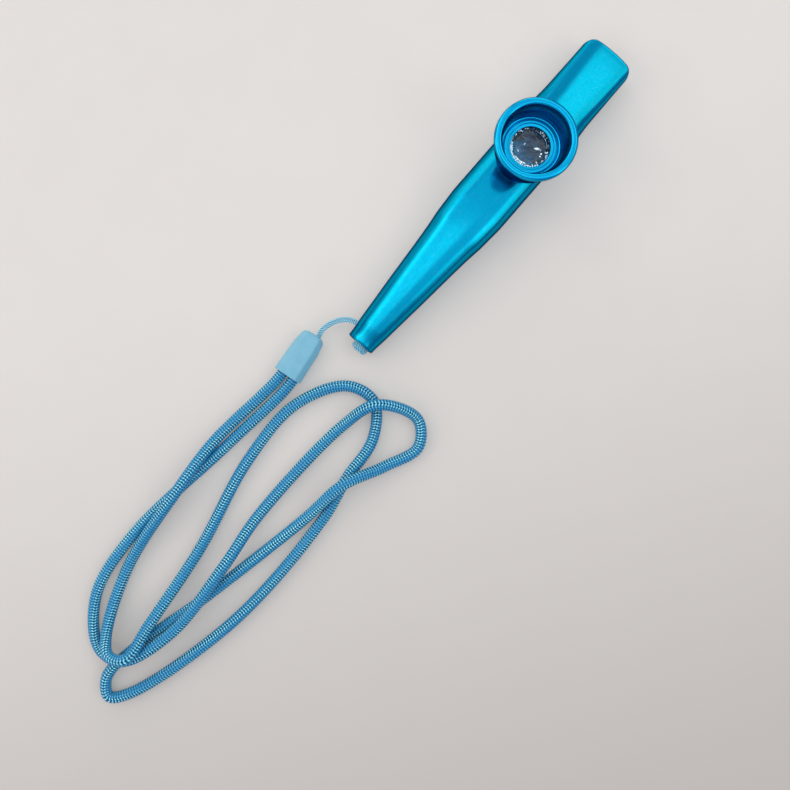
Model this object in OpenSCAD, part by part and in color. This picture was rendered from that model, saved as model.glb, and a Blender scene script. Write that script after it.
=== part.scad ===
// Kazoo: a drawn aluminium tube with a flat mouthpiece, a screw-on resonator cup over a film diaphragm,
// and a neck cord joined to the small end by a thin string and a plastic ferrule.
// It lies cup up. +X points to the mouthpiece, and the origin is below its middle, on the table.

/* [Body tube] */
// Length of the tube, from the small open end to the mouthpiece
body_length = 118.4; // [100:0.1:140]
// Outside diameter of the small open end
tail_diameter = 9.2; // [9:0.1:12]
// Width of the body where it carries the cup
belly_width = 18.9; // [18.6:0.1:23]
// Height of the body where it carries the cup
belly_height = 13; // [11:0.1:16]
// Width of the flat mouthpiece
mouth_width = 17.3; // [14:0.1:18.6]
// Height of the flat mouthpiece
mouth_height = 7.4; // [6:0.1:9]
// Height of the mouthpiece's underside above the table
mouth_lift = 2.2; // [0:0.1:3]
// Corner radius of the mouthpiece's end, seen from above
mouth_corner = 3; // [1:0.1:4]
// Radius of the slightly convex end of the mouthpiece, seen from above
mouth_end_radius = 90; // [60:5:150]
// Wall thickness of the tube
wall = 0.9; // [0.6:0.05:1.1]
// Distance from the mouthpiece's end to the axis of the cup
turret_setback = 41.3; // [35:0.1:46]
// Depth of the flat pressed along the underside of the belly
belly_flat = 0.35; // [0.2:0.05:0.6]
// Depth of the same flat at the small end
tail_flat = 0.15; // [0.1:0.05:0.3]

/* [Turret neck and collar] */
// Outside diameter of the neck drawn up from the body
neck_diameter = 18; // [17.4:0.1:18.4]
// Height of the neck above the top of the belly
neck_rise = 0.4; // [0.2:0.1:1]
// Diameter of the collar's spigot and of the neck's bore
spigot_diameter = 14.8; // [14.2:0.1:15.4]
// Length of the collar's spigot in the neck
spigot_length = 3; // [2:0.1:4]
// Bore of the collar, which carries the sound to the film
collar_bore = 12.6; // [11:0.1:13]
// Thickness of the collar's flange
flange_thickness = 0.5; // [0.3:0.1:0.8]
// Outside diameter of the collar's thread
thread_diameter = 15.9; // [15.8:0.1:16.4]
// Length of the collar's thread above its flange
thread_length = 2.5; // [2:0.1:4]
// Running clearance between the collar's thread and the cup's, on the radius
thread_clearance = 0.06; // [0.02:0.01:0.1]

/* [Diaphragm] */
// Thickness of the soft ring under the film
gasket_thickness = 0.3; // [0.2:0.1:0.6]
// Thickness of the film
film_thickness = 0.1; // [0.1:0.05:0.2]
// Diameter of the film and of the ring bonded to it
diaphragm_diameter = 15.2; // [14.6:0.1:15.6]
// Opening of the ring bonded to the film
diaphragm_opening = 12.6; // [12.2:0.1:13.2]
// Thickness of the ring bonded to the film
diaphragm_ring_thickness = 0.4; // [0.3:0.1:0.8]

/* [Resonator cup] */
// Outside diameter of the cup's flared lip
cup_diameter = 24.4; // [23:0.1:27]
// Outside diameter of the cup's threaded skirt
skirt_diameter = 20.4; // [19.8:0.1:21]
// Gap between the cup's skirt and the collar's flange when the cup is screwed down
skirt_gap = 0.2; // [0.1:0.1:0.4]
// Height of the cup above the film's ring
cup_depth = 10.2; // [8:0.1:12]
// Height of the rounded lip's section
lip_height = 2.4; // [1.8:0.1:3]
// Wall of the lip's section, from its inner to its outer edge
lip_width = 2.2; // [1.8:0.1:2.6]
// Diameter of the bowl at its floor
bowl_diameter = 17.8; // [17.2:0.1:18.4]
// Width of each of the two steps up the bowl's wall
bowl_step = 0.35; // [0.2:0.05:0.4]
// Thickness of the cup's floor
floor_thickness = 0.7; // [0.5:0.1:1]
// Opening over the film
cup_opening = 12; // [11:0.1:12.2]
// Diameter of the step round the opening
opening_step = 13.8; // [13.2:0.1:14.4]
// Outside diameter of the raised ring round the opening
raised_ring = 16; // [15.4:0.1:16.6]
// Height of the raised ring above the bowl's floor
raised_ring_height = 0.6; // [0.4:0.1:0.9]

/* [String and ferrule] */
// Diameter of the doubled string
string_diameter = 1.6; // [1.2:0.1:1.8]
// Diameter of the string hole in the tube
string_hole = 2.4; // [2.2:0.1:2.8]
// Distance from the small end to the string hole
string_hole_setback = 4.4; // [4:0.1:5]
// Diameter of the wound knot in the small end
tail_knot_diameter = 5.4; // [4.4:0.1:5.6]
// Length of the wound knot
tail_knot_length = 3.8; // [2.8:0.1:4.2]
// Length of the ferrule
ferrule_length = 15.4; // [14.8:0.1:17]
// Width of the ferrule where the neck cord goes in
ferrule_width = 9.4; // [9.2:0.1:10.4]
// Width of the ferrule at the string's end, before its corners are rounded
ferrule_tip_width = 7.2; // [6.8:0.1:8]
// Height of the ferrule where the neck cord goes in
ferrule_height = 5.8; // [5.4:0.1:6.4]
// Height of the ferrule at the string's end
ferrule_tip_height = 5; // [4.6:0.1:5.4]
// Depth of the pocket for the ends of the neck cord
pocket_depth = 6.4; // [6:0.1:7]
// Length of the string's hole in the ferrule's end
ferrule_end_wall = 5; // [4:0.1:6]
// Distance of the string's hole from the middle of the ferrule
string_offset = 1.3; // [0:0.1:1.4]
// Diameter of the knot inside the ferrule
ferrule_knot_diameter = 3.2; // [2.8:0.1:3.4]

/* [Neck cord] */
// Diameter of the braided neck cord
cord_diameter = 3.7; // [3.2:0.1:3.8]
// Room round each end of the neck cord in the ferrule, and round the string and its knot
cord_room = 0.1; // [0.05:0.05:0.2]

/* [Hidden] */

overrun = 1;
round_fn = 96;
section_points = 36;

anodised = [0.02, 0.55, 0.75];
bare_metal = [0.72, 0.74, 0.76];
soft_black = [0.12, 0.12, 0.13];
clear_film = [0.45, 0.55, 0.65, 0.6];
paper_white = [0.9, 0.9, 0.88];
cord_blue = [0.16, 0.55, 0.75];
string_blue = [0.55, 0.8, 0.9];
ferrule_blue = [0.49, 0.7, 0.8];

tail_x = -body_length / 2;
mouth_x = body_length / 2;
turret_x = mouth_x - turret_setback;

// The body's sections, each as shares: how far it is along its stretch, how far its width has gone from
// the first size of the stretch to the last, and how far its height has.
tail_section_shares = [
    [0, 0, 0], [0.12, 0.125, 0.12], [0.25, 0.255, 0.25], [0.38, 0.39, 0.39], [0.51, 0.51, 0.53],
    [0.64, 0.63, 0.68], [0.75, 0.75, 0.81], [0.84, 0.88, 0.91], [0.92, 0.945, 0.97], [1, 1, 1]
];
mouth_section_shares = [
    [0, 0, 0], [0.2, 0.03, 0.06], [0.32, 0.18, 0.18], [0.4, 0.48, 0.29], [0.46, 0.72, 0.39],
    [0.54, 0.84, 0.52], [0.68, 0.9, 0.72], [0.8, 0.98, 0.86], [0.9, 1, 0.95], [1, 1, 1]
];
// Where the tail has grown to the belly, as a share of its way to the cup's axis
belly_start_share = 0.72;
// The superellipse power of each section: 2 is an ellipse, and more is flatter with rounder shoulders
tail_power_share = 2;
belly_power_share = 2.5;
mouth_power_share = 3;

function between(a, b, share) = a + (b - a) * share;
function signed_power(base, power) = sign(base) * pow(abs(base), power);

// A section is [x, half width, half height, height of its middle, power share]
belly_section = [
    turret_x, belly_width / 2, (belly_height + belly_flat) / 2, (belly_height - belly_flat) / 2,
    belly_power_share
];
tail_section = [
    tail_x, tail_diameter / 2, tail_diameter / 2, tail_diameter / 2 - tail_flat, tail_power_share
];
mouth_section = [
    mouth_x, mouth_width / 2, mouth_height / 2, mouth_lift + mouth_height / 2, mouth_power_share
];
function blend_sections(first, last, along, shares) = [
    between(first[0], last[0], along), between(first[1], last[1], shares[1]),
    between(first[2], last[2], shares[2]), between(first[3], last[3], shares[2]),
    between(first[4], last[4], shares[2])
];
body_sections = concat(
    [for (s = tail_section_shares) blend_sections(tail_section, belly_section, s[0] * belly_start_share, s)],
    [for (s = mouth_section_shares) blend_sections(belly_section, mouth_section, s[0], s)]
);

// Points of one section's outline, taken in from the outside by inset, and flat where it would reach
// below the table
function section_outline(section, inset) = [
    for (i = [0 : section_points - 1])
        let (angle = i * 360 / section_points, power = 2 / section[4])
        [
            section[0],
            (section[1] - inset) * signed_power(cos(angle), power),
            max(inset, section[3] + (section[2] - inset) * signed_power(sin(angle), power))
        ]
];

// A closed skin through rings of points, the same number in each
module skin(rings) {
    per_ring = len(rings[0]);
    last = len(rings) - 1;
    points = [for (ring = rings) for (point = ring) point];
    sides = [
        for (r = [0 : last - 1]) for (i = [0 : per_ring - 1])
            let (a = r * per_ring + i, b = r * per_ring + (i + 1) % per_ring)
            each [[a, b + per_ring, b], [a, a + per_ring, b + per_ring]]
    ];
    first_cap = [for (i = [0 : per_ring - 1]) i];
    last_cap = [for (i = [per_ring - 1 : -1 : 0]) last * per_ring + i];
    polyhedron(points = points, faces = concat([first_cap], sides, [last_cap]), convexity = 6);
}

function shifted_ring(ring, by) = [for (point = ring) point + [by, 0, 0]];

module tube_outside() {
    skin([for (section = body_sections) section_outline(section, 0)]);
}

module tube_inside() {
    rings = [for (section = body_sections) section_outline(section, wall)];
    last = len(rings) - 1;
    skin(concat([shifted_ring(rings[0], -overrun)], rings, [shifted_ring(rings[last], overrun)]));
}

neck_top = belly_height + neck_rise;
belly_centre = (belly_height - belly_flat) / 2;

// Everything past the rounded, slightly convex outline of the mouthpiece's end
module mouth_trim() {
    corner_y = mouth_width / 2 - mouth_corner;
    tall = belly_height + overrun;
    difference() {
        translate([mouth_x - mouth_corner, -belly_width / 2, 0])
            cube([mouth_corner + overrun, belly_width, tall]);
        translate([mouth_x - mouth_end_radius, 0, -overrun])
            cylinder(r = mouth_end_radius, h = tall + 2 * overrun, $fn = 4 * round_fn);
    }
    for (side = [-1, 1])
        difference() {
            translate([mouth_x - mouth_corner, side > 0 ? corner_y : -corner_y - mouth_corner - overrun, 0])
                cube([mouth_corner + overrun, mouth_corner + overrun, tall]);
            translate([mouth_x - mouth_corner, side * corner_y, -overrun])
                cylinder(r = mouth_corner, h = tall + 2 * overrun, $fn = round_fn);
        }
}

string_hole_x = tail_x + string_hole_setback;
tail_centre = tail_diameter / 2 - tail_flat;

module body_tube() {
    color(anodised)
    difference() {
        union() {
            tube_outside();
            translate([turret_x, 0, belly_centre])
                cylinder(d = neck_diameter, h = neck_top - belly_centre, $fn = round_fn);
        }
        tube_inside();
        translate([turret_x, 0, belly_centre])
            cylinder(d = spigot_diameter, h = neck_top - belly_centre + overrun, $fn = round_fn);
        translate([string_hole_x, 0, tail_centre])
            rotate([-90, 0, 0])
                cylinder(d = string_hole, h = tail_diameter, $fn = round_fn / 2);
        mouth_trim();
    }
}

// A ring of square section round the cup's axis
module washer(inner, outer, bottom, thickness) {
    translate([turret_x, 0, bottom])
        difference() {
            cylinder(d = outer, h = thickness, $fn = round_fn);
            translate([0, 0, -overrun])
                cylinder(d = inner, h = thickness + 2 * overrun, $fn = round_fn);
        }
}

flange_diameter = neck_diameter - wall;
flange_top = neck_top + flange_thickness;
collar_top = flange_top + thread_length;
thread_relief = 0.25;

module turret_collar() {
    color(bare_metal)
    translate([turret_x, 0, 0])
        rotate_extrude($fn = round_fn)
            polygon([
                [collar_bore / 2, neck_top - spigot_length],
                [spigot_diameter / 2, neck_top - spigot_length],
                [spigot_diameter / 2, neck_top],
                [flange_diameter / 2, neck_top],
                [flange_diameter / 2, flange_top],
                [thread_diameter / 2 - thread_relief, flange_top],
                [thread_diameter / 2 - thread_relief, flange_top + thread_relief],
                [thread_diameter / 2, flange_top + 2 * thread_relief],
                [thread_diameter / 2, collar_top - thread_relief],
                [thread_diameter / 2 - thread_relief, collar_top],
                [collar_bore / 2, collar_top]
            ]);
}

film_bottom = collar_top + gasket_thickness;
ring_bottom = film_bottom + film_thickness;
cup_seat = ring_bottom + diaphragm_ring_thickness;

module gasket_ring() {
    color(soft_black) washer(collar_bore, diaphragm_diameter, collar_top, gasket_thickness);
}

module diaphragm_film() {
    color(clear_film)
    translate([turret_x, 0, film_bottom])
        cylinder(d = diaphragm_diameter, h = film_thickness, $fn = round_fn);
}

module diaphragm_ring() {
    color(paper_white)
        washer(diaphragm_opening, diaphragm_diameter, ring_bottom, diaphragm_ring_thickness);
}

cup_top = cup_seat + cup_depth;
bowl_floor = cup_seat + floor_thickness;
skirt_bottom = flange_top + skirt_gap;
skirt_bore = thread_diameter + 2 * thread_clearance;
edge_break = 0.2;
lip_points = 12;
// The lip's rounded section starts and ends this much below its middle, as angles
lip_first_angle = 200;
lip_last_angle = -20;
flare_points = 8;
// How far up the bowl each step is, as a share of its wall
lower_step_share = 0.35;
upper_step_share = 0.8;

// A wider bowl pushes out the skirt, whose wall is at least as thick as the floor, and the lip, whose
// middle stays outside the bowl's last step
skirt_radius = max(skirt_diameter / 2, bowl_diameter / 2 + floor_thickness);
lip_centre = [
    max(cup_diameter / 2 - lip_width / 2, bowl_diameter / 2 + 2 * bowl_step + edge_break),
    cup_top - lip_height / 2
];
// The lip's rounded section, from its inner foot over the top to its outer foot
lip_outline = [
    for (i = [0 : lip_points])
        let (angle = between(lip_first_angle, lip_last_angle, i / lip_points))
        lip_centre + [lip_width / 2 * cos(angle), lip_height / 2 * sin(angle)]
];
lip_foot = lip_outline[lip_points];
flare_bottom = [skirt_radius, bowl_floor + raised_ring_height];
// The hollow flare under the lip: a quarter wave from the skirt out to the lip's foot
flare_outline = [
    for (i = [0 : flare_points])
        let (share = i / flare_points)
        [
            between(flare_bottom[0], lip_foot[0], 1 - cos(90 * share)),
            between(flare_bottom[1], lip_foot[1], share)
        ]
];
bowl_wall_height = lip_outline[0][1] - bowl_floor;
lower_step = bowl_floor + bowl_wall_height * lower_step_share;
upper_step = bowl_floor + bowl_wall_height * upper_step_share;

module resonator_cup() {
    color(anodised)
    translate([turret_x, 0, 0])
        rotate_extrude($fn = round_fn)
            polygon(concat(
                [
                    [skirt_bore / 2, skirt_bottom],
                    [skirt_bore / 2, cup_seat],
                    [cup_opening / 2, cup_seat],
                    [cup_opening / 2, bowl_floor - edge_break],
                    [cup_opening / 2 + edge_break, bowl_floor],
                    [opening_step / 2, bowl_floor],
                    [opening_step / 2, bowl_floor + raised_ring_height - edge_break],
                    [opening_step / 2 + edge_break, bowl_floor + raised_ring_height],
                    [raised_ring / 2 - edge_break, bowl_floor + raised_ring_height],
                    [raised_ring / 2, bowl_floor + raised_ring_height - edge_break],
                    [raised_ring / 2, bowl_floor],
                    [bowl_diameter / 2, bowl_floor],
                    [bowl_diameter / 2, lower_step],
                    [bowl_diameter / 2 + bowl_step, lower_step],
                    [bowl_diameter / 2 + bowl_step, upper_step],
                    [bowl_diameter / 2 + 2 * bowl_step, upper_step]
                ],
                lip_outline,
                [for (i = [flare_points - 1 : -1 : 0]) flare_outline[i]],
                [
                    [skirt_radius, skirt_bottom + edge_break],
                    [skirt_radius - edge_break, skirt_bottom]
                ]
            ));
}

// A free cord's solid: a tube swept along the route's own points, with flats above and below. The curve
// through the points is a Catmull-Rom curve whose knots are spaced by the square root of the chord.
function knot_after(a, b) = sqrt(norm(b - a));
function mix(a, b, from, to, at) = ((to - at) * a + (at - from) * b) / (to - from);
function curve_point(p, share) =
    let (
        k1 = knot_after(p[0], p[1]), k2 = k1 + knot_after(p[1], p[2]), k3 = k2 + knot_after(p[2], p[3]),
        at = between(k1, k2, share),
        a1 = mix(p[0], p[1], 0, k1, at), a2 = mix(p[1], p[2], k1, k2, at), a3 = mix(p[2], p[3], k2, k3, at),
        b1 = mix(a1, a2, 0, k2, at), b2 = mix(a2, a3, k1, k3, at)
    )
    mix(b1, b2, k1, k2, at);
function unit(v) = v / norm(v);
function bend(a, b, c) = acos(min(1, unit(b - a) * unit(c - b)));
// The middles of the rings: closer together where the route bends, and none below lowest
function route_line(route, ring_gap, lowest) =
    let (
        last = len(route) - 1,
        ends = concat([2 * route[0] - route[1]], route, [2 * route[last] - route[last - 1]])
    )
    concat(
        [
            for (i = [0 : last - 1])
                let (
                    p = [ends[i], ends[i + 1], ends[i + 2], ends[i + 3]],
                    turn = max(bend(p[0], p[1], p[2]), bend(p[1], p[2], p[3])),
                    steps = max(1, ceil(norm(p[2] - p[1]) / ring_gap), ceil(turn / ring_turn))
                )
                for (k = [0 : steps - 1])
                    let (point = curve_point(p, k / steps))
                    [point[0], point[1], max(lowest, point[2])]
        ],
        [route[last]]
    );
function cord_ring(line, i, diameter, sides) =
    let (
        last = len(line) - 1,
        along = unit(line[min(i + 1, last)] - line[max(i - 1, 0)]),
        across = unit(cross([0, 0, 1], along)),
        up = cross(along, across)
    )
    [
        for (k = [0 : sides - 1])
            let (angle = (k + 0.5) * 360 / sides)
            line[i] + diameter / 2 * (cos(angle) * across + sin(angle) * up)
    ];
module cord_tube(route, diameter) {
    line = route_line(route, diameter * ring_gap_share, diameter / 2 + floor_gap);
    skin([for (i = [0 : len(line) - 1]) cord_ring(line, i, diameter, cord_sides)]);
}
cord_sides = 8;
floor_gap = 0.05;
// The most that two rings of a cord stand apart, in diameters of the cord, and turn from each other
ring_gap_share = 5;
ring_turn = 60;

// The ferrule lies on the table with its wide end towards the neck cord. It has a frame of its own, from
// the middle of that end, with X towards the string's end.
ferrule_place = [-81.5, 10.7];
ferrule_turn = 7;
ferrule_round = 1.5;
ferrule_round_points = 6;
// The ferrule's section: how much of its width is flat above and below, and of its height at the sides
ferrule_flat_share = 0.6;
ferrule_side_share = 0.3;
// The sides run nearly parallel to here, and then draw in to the string's end
ferrule_shoulder_share = 0.68;
ferrule_shoulder_width_share = 0.94;

module in_ferrule_frame() {
    translate([ferrule_place[0], ferrule_place[1], ferrule_height / 2])
        rotate([0, 0, ferrule_turn])
            children();
}

function ferrule_width_at(at) =
    let (share = at / ferrule_length, shoulder = ferrule_width * ferrule_shoulder_width_share)
    share < ferrule_shoulder_share
        ? between(ferrule_width, shoulder, share / ferrule_shoulder_share)
        : between(
            shoulder, ferrule_tip_width, (share - ferrule_shoulder_share) / (1 - ferrule_shoulder_share)
        );

function ferrule_ring(at, inset) =
    let (
        side = ferrule_width_at(at) / 2 - inset,
        top = between(ferrule_height, ferrule_tip_height, at / ferrule_length) / 2 - inset / 2,
        flat = side * ferrule_flat_share, edge = top * ferrule_side_share
    )
    [
        [at, side, -edge], [at, side, edge], [at, flat, top], [at, -flat, top],
        [at, -side, edge], [at, -side, -edge], [at, -flat, -top], [at, flat, -top]
    ];

// The string's end of the ferrule is drawn in by a quarter circle
ferrule_rings = concat(
    [ferrule_ring(0, 0), ferrule_ring(ferrule_length * ferrule_shoulder_share, 0)],
    [
        for (i = [0 : ferrule_round_points])
            let (angle = 90 * i / ferrule_round_points)
            ferrule_ring(ferrule_length - ferrule_round * (1 - sin(angle)), ferrule_round * (1 - cos(angle)))
    ]
);

// A bore along the ferrule, from one place to another, that lies to one side of its middle
module ferrule_bore(from, to, side, diameter) {
    translate([from, side, 0])
        rotate([0, 90, 0])
            cylinder(d = diameter, h = to - from, $fn = round_fn / 2);
}

knot_chamber_end = ferrule_length - ferrule_end_wall;
cord_end_offset = cord_diameter / 2 + cord_room / 2;

module ferrule() {
    color(ferrule_blue)
    in_ferrule_frame()
        difference() {
            skin(ferrule_rings);
            for (side = [-1, 1])
                ferrule_bore(-overrun, pocket_depth, side * cord_end_offset, cord_diameter + 2 * cord_room);
            ferrule_bore(
                pocket_depth - overrun, knot_chamber_end, -string_offset,
                ferrule_knot_diameter + 2 * cord_room
            );
            ferrule_bore(
                knot_chamber_end - overrun, ferrule_length + overrun, -string_offset,
                string_diameter + 2 * cord_room
            );
        }
}

// A wound knot: a barrel along X from zero to its length
module wound_knot(diameter, length) {
    rotate([0, 90, 0])
        rotate_extrude($fn = round_fn / 2)
            polygon([
                [0, 0],
                [diameter * knot_end_share / 2, 0],
                [diameter * knot_shoulder_share / 2, length * knot_shoulder_at_share],
                [diameter / 2, length * knot_belly_at_share],
                [diameter / 2, length * (1 - knot_belly_at_share)],
                [diameter * knot_shoulder_share / 2, length * (1 - knot_shoulder_at_share)],
                [diameter * knot_end_share / 2, length],
                [0, length]
            ]);
}
knot_end_share = 0.55;
knot_shoulder_share = 0.88;
knot_shoulder_at_share = 0.1;
knot_belly_at_share = 0.28;

module ferrule_knot() {
    length = knot_chamber_end - pocket_depth - cord_room;
    color(string_blue)
    in_ferrule_frame()
        translate([knot_chamber_end - length, -string_offset, 0])
            wound_knot(ferrule_knot_diameter, length);
}

// The string's route: out of the ferrule's end, in through the hole in the tube, and back to the knot
string_route = [
    [-71, 10.7, 2.9], [-66, 11.3, 2.9], [-63.6, 11.8, 3.1], [-60.6, 11.2, 3.6], [-57.6, 9.6, 4.1],
    [-55.5, 7.2, 4.4], [-54.8, 4.4, 4.5], [-55.6, 1.4, 4.4], [-56.8, -0.7, 4.4], [-57.8, -0.7, 4.4]
];

module string() {
    color(string_blue) cord_tube(string_route, string_diameter);
}

module tail_knot() {
    color(string_blue)
    translate(string_route[len(string_route) - 1] - [tail_knot_length, 0, 0])
        wound_knot(tail_knot_diameter, tail_knot_length);
}

// The neck cord's route: one loop, laid in three long bights, with both ends in the ferrule
neck_cord_route = [
    [-75.4, 13.4, 2.9], [-84, 12.3, 2.7], [-112, 14.5, 3.2], [-130, 13, 6.3], [-160, 9, 2],
    [-179.3, 0.1, 5], [-182.4, -4.6, 8.2], [-179.3, -9.2, 9.9], [-168, -7.8, 5], [-140, -4.1, 1.9],
    [-110, 2.6, 1.9], [-87, 2.9, 1.9], [-71.8, -5.4, 1.9], [-69.8, -15, 1.9], [-79, -22.6, 1.9],
    [-94, -24.5, 1.9], [-108, -27.2, 1.9], [-150, -27.2, 1.9], [-188.6, -17.6, 1.9], [-194.2, -13, 1.9],
    [-190, -8.5, 1.9], [-177, -9.2, 1.9], [-154, -14.8, 1.9], [-112, -22.8, 2.6], [-96, -24.6, 6.1],
    [-83, -31, 2.4], [-71.5, -35, 1.9], [-65, -29, 1.9], [-70, -16.4, 5.9], [-82, -12.7, 2.2],
    [-120, -11.2, 1.9], [-139, -13.4, 5.4], [-165, -14.7, 5.2], [-181.5, -9, 6.1], [-184.6, -0.5, 2.2],
    [-173, 10.8, 1.9], [-152, 14.5, 1.9], [-110, 10.7, 1.9], [-84, 8.4, 2.7], [-75, 9.6, 2.9]
];

module neck_cord() {
    color(cord_blue) cord_tube(neck_cord_route, cord_diameter);
}

body_tube();
turret_collar();
gasket_ring();
diaphragm_film();
diaphragm_ring();
resonator_cup();
string();
tail_knot();
ferrule();
ferrule_knot();
neck_cord();
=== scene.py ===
import math

import bpy
import numpy as np
from mathutils import Matrix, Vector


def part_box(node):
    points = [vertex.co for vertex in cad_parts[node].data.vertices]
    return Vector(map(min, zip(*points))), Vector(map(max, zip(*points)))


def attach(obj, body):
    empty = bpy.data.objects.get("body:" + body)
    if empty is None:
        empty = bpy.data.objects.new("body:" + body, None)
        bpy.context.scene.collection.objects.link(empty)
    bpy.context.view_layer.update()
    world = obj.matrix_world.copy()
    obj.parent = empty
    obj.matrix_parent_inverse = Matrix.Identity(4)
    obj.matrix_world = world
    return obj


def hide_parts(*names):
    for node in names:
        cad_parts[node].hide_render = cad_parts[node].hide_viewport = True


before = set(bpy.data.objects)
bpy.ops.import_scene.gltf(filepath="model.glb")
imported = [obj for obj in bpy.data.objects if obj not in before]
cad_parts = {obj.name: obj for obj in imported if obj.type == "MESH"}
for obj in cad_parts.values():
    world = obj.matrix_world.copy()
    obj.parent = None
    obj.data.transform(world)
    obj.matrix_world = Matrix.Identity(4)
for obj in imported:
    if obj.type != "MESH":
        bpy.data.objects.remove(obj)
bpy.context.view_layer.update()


# The camera
# It hangs level over the table, 300 mm up, above the gap between the ferrule and the neck cord's bights.
# The kazoo points to the upper right of the picture.
camera_place = (-0.06965, -0.00499, 0.300)
picture_right = (0.65598, -0.75477, 0.0)
picture_up = (0.75477, 0.65598, 0.0)
camera = bpy.data.objects.new("camera", bpy.data.cameras.new("camera"))
camera.matrix_world = Matrix.Translation(camera_place) @ Matrix(
    (picture_right, picture_up, (0.0, 0.0, 1.0))
).transposed().to_4x4()
camera.data.sensor_width = 36.0
camera.data.lens = 43.26
camera.data.shift_x = 0.057
camera.data.shift_y = -0.019
camera.data.clip_start = 0.01
bpy.context.scene.collection.objects.link(camera)
bpy.context.scene.camera = camera


# The neck cord
# A round braided cord of dyed polyester, one length with both ends pushed into the ferrule. It lies on
# the table in three long bights, and it is lifted only where it crosses over itself.
cord_diameter = 0.0037
stitch_columns = 12
stitch_length = 0.00087
stitch_slant = 0.35
column_relief, stitch_relief = 0.00014, 0.00008
cord_turns_per_metre = 5.0
# The first colour here is painted shade in the gaps between the stitches, and the last a painted highlight on
# their crests
cord_gap_shade_colour = (0.0002, 0.008, 0.045)
cord_colour = (0.001, 0.2, 0.46)
cord_highlight_colour = (0.36, 0.97, 1.0)
neck_cord_route = 0.001 * np.array([
    (-75.4, 13.4, 2.9), (-84, 12.3, 2.7), (-112, 14.5, 3.2), (-130, 13, 6.3), (-160, 9, 2),
    (-179.3, 0.1, 5), (-182.4, -4.6, 8.2), (-179.3, -9.2, 9.9), (-168, -7.8, 5), (-140, -4.1, 1.9),
    (-110, 2.6, 1.9), (-87, 2.9, 1.9), (-71.8, -5.4, 1.9), (-69.8, -15, 1.9), (-79, -22.6, 1.9),
    (-94, -24.5, 1.9), (-108, -27.2, 1.9), (-150, -27.2, 1.9), (-188.6, -17.6, 1.9), (-194.2, -13, 1.9),
    (-190, -8.5, 1.9), (-177, -9.2, 1.9), (-154, -14.8, 1.9), (-112, -22.8, 2.6), (-96, -24.6, 6.1),
    (-83, -31, 2.4), (-71.5, -35, 1.9), (-65, -29, 1.9), (-70, -16.4, 5.9), (-82, -12.7, 2.2),
    (-120, -11.2, 1.9), (-139, -13.4, 5.4), (-165, -14.7, 5.2), (-181.5, -9, 6.1), (-184.6, -0.5, 2.2),
    (-173, 10.8, 1.9), (-152, 14.5, 1.9), (-110, 10.7, 1.9), (-84, 8.4, 2.7), (-75, 9.6, 2.9),
])


def curve_through(points, per_span=24):
    """A Catmull-Rom curve through points. Its knots are spaced by the square root of the chord, and each
    span is two rounds of straight mixes between neighbouring points at its knots."""
    p = np.vstack([2 * points[0] - points[1], points, 2 * points[-1] - points[-2]])
    knots = np.concatenate([[0], np.cumsum(np.sqrt(np.linalg.norm(np.diff(p, axis=0), axis=1)))])
    span = np.repeat(np.arange(1, len(p) - 2), per_span)
    share = np.tile(np.arange(per_span) / per_span, len(p) - 3)
    at = (knots[span] + (knots[span + 1] - knots[span]) * share)[:, None]

    def mix(first, second, a, b):
        low, high = knots[span + a][:, None], knots[span + b][:, None]
        return ((high - at) * first + (at - low) * second) / (high - low)

    ones = [mix(p[span + k], p[span + k + 1], k, k + 1) for k in (-1, 0, 1)]
    twos = [mix(ones[0], ones[1], -1, 1), mix(ones[1], ones[2], 0, 2)]
    return np.vstack([mix(twos[0], twos[1], 0, 1), points[-1]])


def evenly_spaced(line, painted_gap_shade):
    """The same line with its points a set distance apart, and its ends kept."""
    length = np.concatenate([[0], np.cumsum(np.linalg.norm(np.diff(line, axis=0), axis=1))])
    at = np.linspace(0, length[-1], 1 + math.ceil(length[-1] / painted_gap_shade))
    return np.stack([np.interp(at, length, line[:, axis]) for axis in range(3)], axis=1), at


def tube_rings(line, radius, sides, level=(0, 0, 1), turn=0.0):
    """A ring of points round each point of a line: radius times (cos a across + sin a up), where across is
    square to level and to the line, and up is square to across and to the line. turn is added to a."""
    along = np.gradient(line, axis=0)
    along /= np.linalg.norm(along, axis=1)[:, None]
    across = np.cross(np.array(level, float), along)
    across /= np.linalg.norm(across, axis=1)[:, None]
    up = np.cross(along, across)
    angle = np.arange(sides) * 2 * np.pi / sides + np.broadcast_to(turn, len(line))[:, None]
    spokes = np.cos(angle)[..., None] * across[:, None] + np.sin(angle)[..., None] * up[:, None]
    reach = np.asarray(radius, float)
    reach = reach if reach.ndim == 2 else np.broadcast_to(reach, len(line))[:, None]
    return line[:, None] + reach[..., None] * spokes


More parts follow.
